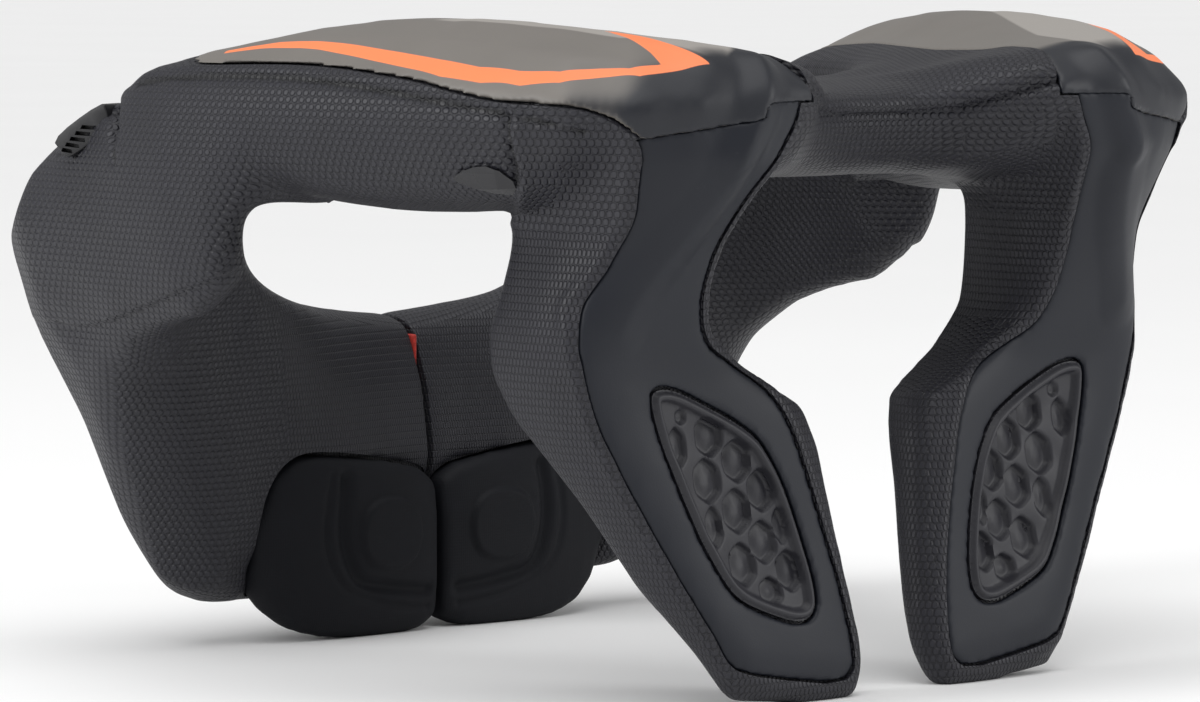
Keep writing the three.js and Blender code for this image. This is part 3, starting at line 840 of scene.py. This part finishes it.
# in mm of the photo's frame: where the upright ovals take the honeycomb's place
ribs = {
    "legTop": 128, "legFrom": (56, 60),
    "gussetHeights": [125, 130, 134.5, 142, 150.1, 158.6],
    "gussetFront": [70, 75, 80.4, 95.3, 100.1, 101.3],
    "gussetSide": (80, 84), "gussetTop": (158, 156),
    "bibRadius": 88, "bibTop": (100, 96), "bibFrom": (-28, -32),
}


def pressGrooves(obj):
    spots, normals = readPoints(obj) / mm, readNormals(obj)
    lift = np.zeros(len(spots))
    for groove in grooves:
        away, way = nearLine(foldOver(spots), layLine(groove["line"]))
        lift -= groove["depth"] * np.exp(-(away / groove["width"]) ** 2)
        if "lap" in groove:
            overIt = ease(-0.8, 0.8, way @ np.array(groove["toward"]))
            lift += groove["lap"] * np.exp(-away / groove["fall"]) * overIt
    besideSlit = (spots[:, 1] < body["bibFrom"]) & (np.abs(spots[:, 0]) < body["lipHalf"])
    lift -= besideSlit * body["lipDepth"] * np.exp(-np.abs(spots[:, 0]) / body["lipReach"])
    writePoints(obj, (spots + normals * lift[:, None]) * mm)


def cutCoverPockets(obj):
    # shallow beds for the panels and plates, first on the left and then on the right
    for mirror in (False, True):
        zones = ((panelZone(panel["pocketGap"]), panel),
                 (plateZone(plate["pocketGap"], plate["pocketSeamLift"]), plate))
        for zone, settings in zones:
            inner = offsetSkin(settings["pocketDepth"], "pocketFloor")
            cutWith(zone, inner, "DIFFERENCE")
            if mirror:
                mirroredZone = mirrorPiece(zone, "pocketRight")
                bpy.data.objects.remove(zone)
                zone = mirroredZone
            cutWith(obj, zone, "DIFFERENCE")


def cutSlit(obj):
    half = body["slitHalf"]
    outline = [(-half, -200), (half, -200), (half, -30), (-half, -30)]
    cutWith(obj, prism("slit", outline, "Z", -20, 250), "DIFFERENCE")


def cutPadBeds(obj):
    for piece in (chestPad, chestPadRight):
        pocket = duplicateOf(piece, "padPocket")
        applyModifier(pocket, "DISPLACE", strength=body["padGap"] * mm, mid_level=0)
        cutWith(obj, pocket, "DIFFERENCE")
    outline = growLoop(roundedLoop(pad["outline"], 2), pad["gap"])
    padHole = prism("padHole", outline, "Y", *body["padHoleBetween"])
    cutWith(obj, mirrorPiece(padHole, "padHoleRight"), "DIFFERENCE")
    cutWith(obj, padHole, "DIFFERENCE")


def markCloth(obj):
    # "ribbed" is 1 where the upright ovals are, and "seam" is 1 along the seams, where the cloth gets a
    # painted shade line
    spots = readPoints(obj) / mm
    folded = np.abs(spots[:, 0])
    yBack = spots[:, 1] - shiftY
    leg = ease(2, -2, spots[:, 2] - ribs["legTop"]) * ease(*ribs["legFrom"], yBack)
    gussetFront = np.interp(spots[:, 2], ribs["gussetHeights"], ribs["gussetFront"])
    gusset = (ease(-0.6, 0.6, yBack - gussetFront) * ease(*ribs["gussetSide"], folded)
              * ease(*ribs["gussetTop"], spots[:, 2]))
    pastBib = np.hypot(spots[:, 0], yBack - neckAxisY) - ribs["bibRadius"]
    innerBib = (ease(-0.5, 0.5, -pastBib) * ease(*ribs["bibTop"], spots[:, 2])
                * ease(*ribs["bibFrom"], yBack))
    storeValue(obj, "ribbed", np.clip(leg + gusset + innerBib, 0, 1))
    seam = np.zeros(len(spots))
    for groove in grooves:
        if "seam" in groove:
            away = distanceToLine(foldOver(spots), layLine(groove["line"]))
            seam = np.maximum(seam, groove["seam"] * np.exp(-(away / 0.9) ** 4))
    storeValue(obj, "seam", seam)


# in m: the ring's radius for the cloth, the neck's axis, and where the legs begin
weave = {"ringRadius": 0.125, "axisY": -0.0169, "legTop": 0.128, "legFrom": 0.044, "levelPast": 0.75,
         "acrossPast": 1.3}


def layWeave(obj):
    # cloth directions: round the ring on upright faces, flat on level ones, and along the legs
    mesh = obj.data
    count = len(mesh.polygons)
    normal, centre = np.zeros(count * 3), np.zeros(count * 3)
    mesh.polygons.foreach_get("normal", normal)
    mesh.polygons.foreach_get("center", centre)
    normal, centre = normal.reshape(-1, 3), centre.reshape(-1, 3)
    loopVertex = np.zeros(len(mesh.loops), int)
    mesh.loops.foreach_get("vertex_index", loopVertex)
    totals = np.zeros(count, int)
    mesh.polygons.foreach_get("loop_total", totals)
    ofFace = np.repeat(np.arange(count), totals)
    points = readPoints(obj)[loopVertex]
    side = normal[ofFace]
    onLeg = (centre[:, 2] < weave["legTop"]) & (centre[:, 1] > weave["legFrom"])
    flat = np.abs(side[:, 2]) > weave["levelPast"]
    pointBack, middleBack = points[:, 1] - weave["axisY"], centre[:, 1] - weave["axisY"]
    away = np.hypot(points[:, 0], pointBack)
    turn = np.abs(np.arctan2(points[:, 0], -pointBack)) * np.sign(centre[:, 0])[ofFace]
    u, v = turn * weave["ringRadius"], points[:, 2].copy()
    u[flat], v[flat] = points[flat, 0], points[flat, 1]
    middleAway = np.hypot(centre[:, 0], middleBack) + 1e-9
    outwards = (normal[:, 0] * centre[:, 0] + normal[:, 1] * middleBack) / middleAway
    sideways = (normal[:, 0] * middleBack - normal[:, 1] * centre[:, 0]) / middleAway
    acrossRing = (np.abs(sideways) > weave["acrossPast"] * np.abs(outwards))[ofFace] & ~flat
    u[acrossRing], v[acrossRing] = away[acrossRing], points[acrossRing, 2]
    legLoop = onLeg[ofFace] & ~flat
    byX = legLoop & (np.abs(side[:, 0]) > np.abs(side[:, 1]))
    byY = legLoop & ~byX
    u[byX], v[byX] = points[byX, 1], points[byX, 2]
    u[byY], v[byY] = points[byY, 0], points[byY, 2]
    layer = mesh.uv_layers.new(name="weave")
    layer.data.foreach_set("uv", np.column_stack([u, v]).ravel())


foam = smoothSkin(foamNodes + coverNodes, "foamBody")
pressGrooves(foam)
cutCoverPockets(foam)
cutSlit(foam)
cutPadBeds(foam)
markCloth(foam)
layWeave(foam)
finishPiece(foam, "body", "body_fabric", *foamNodes, angle=50)
print("foam body:", len(foam.data.polygons), "faces")


# Stripe and fields on the panels, seen from above in the photo's frame

stripe = {
    "upper": [(128.4, -9), (126.1, 2.1), (124.3, 8.5), (123.2, 15.7), (122.4, 23.4), (121.8, 31.1),
              (121.4, 39.2), (120.8, 55.1), (120.5, 71.1), (119.4, 86.2), (116.4, 98.7),
              (112.3, 109.8), (105.2, 117.5), (100.2, 123.6), (92.4, 127.2)],
    "back": [(91.6, 122), (91.6, 104)],
    "tip": [(88, 112), (85.6, 120), (80.8, 133.6)],
    "lower": [(89, 130.8), (99.6, 126.8), (106.9, 119.4), (114.7, 112.5), (119.4, 102.1),
              (122.6, 89.8), (124.5, 75.9), (124.6, 59.6), (124.8, 43.2), (125.2, 26.8), (125.8, 19),
              (126.9, 11.7), (127.8, 4.2), (130.2, -9)],
    "pale": [(104.4, 50), (103.9, 65.6), (100.9, 80.9), (97.1, 97), (92.8, 111.5), (84.3, 123.6),
             (79.2, 132.7), (66, 136), (65.5, 124), (72, 104), (84, 84), (96, 64)],
    "paleLevelPast": 0.3, "paleAway": 9, "darkCorner": (68, 128), "darkFrom": (120, 126),
}


def markPanel(obj):
    # distances to the stripe and the pale field, and how dark the rear wall is
    spots, normals = readPoints(obj) / mm, readNormals(obj)
    plan = np.column_stack([spots[:, 0], spots[:, 1] - shiftY])
    stripeLoop = np.array(stripe["upper"] + stripe["back"] + stripe["tip"] + stripe["lower"])
    storeValue(obj, "stripe", signedDistance(plan, stripeLoop))
    steep = normals[:, 2] < stripe["paleLevelPast"]
    storeValue(obj, "pale", signedDistance(plan, np.array(stripe["pale"])) + stripe["paleAway"] * steep)
    rearward = ease(0.3, 0.8, normals[:, 1] + 0.25 * ease(125, 134, plan[:, 1]))
    cornerX, cornerY = stripe["darkCorner"]
    past = ease(-1.5, 1.5, (plan[:, 1] - cornerY) * 0.9 + (cornerX - plan[:, 0]) * 0.9)
    storeValue(obj, "dark", np.clip(rearward + past * ease(*stripe["darkFrom"], plan[:, 1]), 0, 1))


markPanel(topPanel)
topPanelRight = mirrorPiece(topPanel, "panelRight")
finishPiece(topPanel, "panel", "panel_skin", "top_panel_left")
finishPiece(topPanelRight, "panel", "panel_skin", "top_panel_right")
legPlateRight = mirrorPiece(legPlate, "plateRight")
finishPiece(legPlate, "plate", "plate_skin", "leg_plate_left")
finishPiece(legPlateRight, "plate", "plate_skin", "leg_plate_right")


# Rubber inserts

insert = {
    # x, z, width and height of each cell
    "cells": [(71.2, 78.2, 3.4, 3.6), (61.2, 72.6, 8.4, 9.6), (52.0, 65.4, 8.4, 9.8),
              (44.2, 57.2, 8.0, 9.8), (38.6, 47.4, 4.2, 8.6), (73.2, 70.4, 5.4, 9.0),
              (63.4, 60.8, 8.6, 10.2), (53.6, 52.2, 8.6, 10.2), (45.2, 43.4, 8.2, 9.8),
              (37.2, 35.2, 7.6, 9.4), (62.8, 48.6, 5.2, 9.4), (53.8, 38.0, 8.4, 9.8),
              (44.8, 30.2, 7.0, 6.4)],
    "step": 0.5, "rimDrop": -0.6, "floorDrop": -1.0, "floorFrom": 2.2, "edgeGap": 0.9, "thick": 3.2,
    "beadAt": 2.7, "beadHalf": 1.4, "beadRise": 1.5, "beadRound": 0.7,
    "cellDrop": 2.1, "cellGrow": 1.1, "cellDome": 0.6, "cellSquareness": 9, "fullDepthWidth": 6,
}


def cellDistance(points, x, z, wide, tall):
    # rounded six-sided cell, negative inside
    across = (points[:, 0] - x) / (wide / 2)
    up = (points[:, 1] - z) / (tall / 2)
    power = insert["cellSquareness"]
    turns = (0, math.pi / 3, -math.pi / 3)
    reach = sum(np.abs(across * math.cos(a) + up * math.sin(a)) ** power for a in turns)
    return (reach ** (1 / power) - 1) * min(wide, tall) / 2


def buildInsert():
    low, high = windowLoop.min(0), windowLoop.max(0)
    step = insert["step"]
    counts = np.ceil((high - low) / step).astype(int) + 4
    deselectAll()
    bpy.ops.mesh.primitive_grid_add(x_subdivisions=int(counts[0]), y_subdivisions=int(counts[1]), size=1)
    obj = bpy.context.object
    obj.name = "insertLeft"
    flat = readPoints(obj)[:, :2]
    middle = (low + high) / 2
    flat = middle + flat * counts * step
    inside = -signedDistance(flat, windowLoop)
    beadAt = insert["beadAt"]
    height = np.full(len(flat), insert["rimDrop"])
    fromBead = (inside - beadAt) / insert["beadHalf"]
    height += insert["beadRise"] * np.clip(1 - fromBead ** 2, 0, 1) ** insert["beadRound"]
    drop = insert["floorDrop"] - insert["rimDrop"]
    height += ease(beadAt, beadAt + insert["floorFrom"], inside) * drop
    deep = np.zeros(len(flat))
    for x, z, wide, tall in insert["cells"]:
        d = cellDistance(flat, x, z, wide * insert["cellGrow"], tall * insert["cellGrow"])
        hollow = ease(0.3, -0.7, d) * insert["cellDrop"] * min(1, wide / insert["fullDepthWidth"])
        deep = np.maximum(deep, hollow - ease(-0.8, -4.0, d) * insert["cellDome"])
    height -= deep * ease(beadAt + 0.3, beadAt + 1.4, inside)
    points = np.zeros((len(flat), 3))
    for i, (x, z) in enumerate(flat):
        hit, normal, _, _ = skinTree.ray_cast(Vector((x * mm, 0.25, z * mm)), Vector((0, -1, 0)))
        if hit is None:
            hit, normal = Vector((x * mm, 0.09, z * mm)), Vector((0, 1, 0))
        spot = hit + normal * float(height[i]) * mm
        points[i] = (x * mm, spot.y, z * mm)
    writePoints(obj, points)
    inwards = 1 if obj.data.polygons[0].normal.y < 0 else -1
    applyModifier(obj, "SOLIDIFY", thickness=insert["thick"] * mm, offset=inwards)
    inEditMode(obj, lambda: bpy.ops.mesh.normals_make_consistent(inside=False))
    edge = prism("insertEdge", growLoop(windowLoop, -insert["edgeGap"]), "Y", 60, beyond)
    cutWith(obj, edge, "INTERSECT")
    return obj


legInsert = buildInsert()
legInsertRight = mirrorPiece(legInsert, "insertRight")
finishPiece(legInsert, "insert", "insert_rubber", "leg_insert_left", angle=60)
finishPiece(legInsertRight, "insert", "insert_rubber", "leg_insert_right", angle=60)
print("insert:", len(legInsert.data.polygons), "faces")


# Latch

latch = {
    "centre": (138.6, -74.1, 151.5), "along": (-0.45, 0.893, 0), "outwards": (0.893, 0.45, 0),
    "deep": 12,
    "outline": [(-8.5, -3.7), (-7.4, -1.7), (-4.5, 0.8), (-0.8, 3.4), (2.8, 5.7), (6.2, 7.4),
                (7.4, 7.1), (8.2, 4.8), (8.8, 2), (7.9, 0.3), (4.8, -2), (0.6, -5.1), (-3.4, -7.4),
                (-4.5, -7.6), (-6.5, -6.2)],
    "slots": [((0.2, 0.9), (4.6, 0.7)), ((-1.6, -0.8), (2.7, -1.1)), ((-3.2, -2.4), (1.0, -2.8)),
              ((-4.6, -4.0), (-0.8, -4.5)), ((-5.8, -5.5), (-3.0, -6.0))],
    "slotHalf": 0.55, "slotDeep": 2.2, "bevel": 0.35,
}


def buildLatch():
    obj = prism("latch", latch["outline"], "X", -latch["deep"], 0)
    applyModifier(obj, "BEVEL", width=2 * latch["bevel"] * mm, segments=3, limit_method="ANGLE")
    h = latch["slotHalf"]
    for (ax, az), (bx, bz) in latch["slots"]:
        outline = [(ax - h, az - h), (bx + 0.2, bz - h), (bx, bz + h), (ax, az + h)]
        cutWith(obj, prism("slot", outline, "X", -latch["slotDeep"], 3), "DIFFERENCE")
    placeLocal(obj, latch["centre"], latch["outwards"], latch["along"], (0, 0, 1))
    return obj


frontLatch = buildLatch()
finishPiece(frontLatch, "latch", "latch_plastic", "front_latch", angle=35)
print("latch:", len(frontLatch.data.polygons), "faces")


# Red tab in the slit

tab = {"x": (-0.7, 0.7), "y": (-116, -94.2), "z": (72, 87), "bevel": 0.8}
deselectAll()
bpy.ops.mesh.primitive_cube_add(size=1)
redTab = bpy.context.object
redTab.name = "redTab"
low, high = np.array([tab[k][0] for k in "xyz"]), np.array([tab[k][1] for k in "xyz"])
writePoints(redTab, (low + (readPoints(redTab) + 0.5) * (high - low)) * mm)
applyModifier(redTab, "BEVEL", width=tab["bevel"] * mm, segments=3)
finishPiece(redTab, "tab", "tab_webbing", "closure_tab", angle=40)


# The badges keep their CAD shape

for side in sides:
    badge = frame["nodes"][f"side_badge_{side}"]
    badge.data.materials.clear()
    badge.data.materials.append(looks["badge"])

bpy.data.objects.remove(skin)
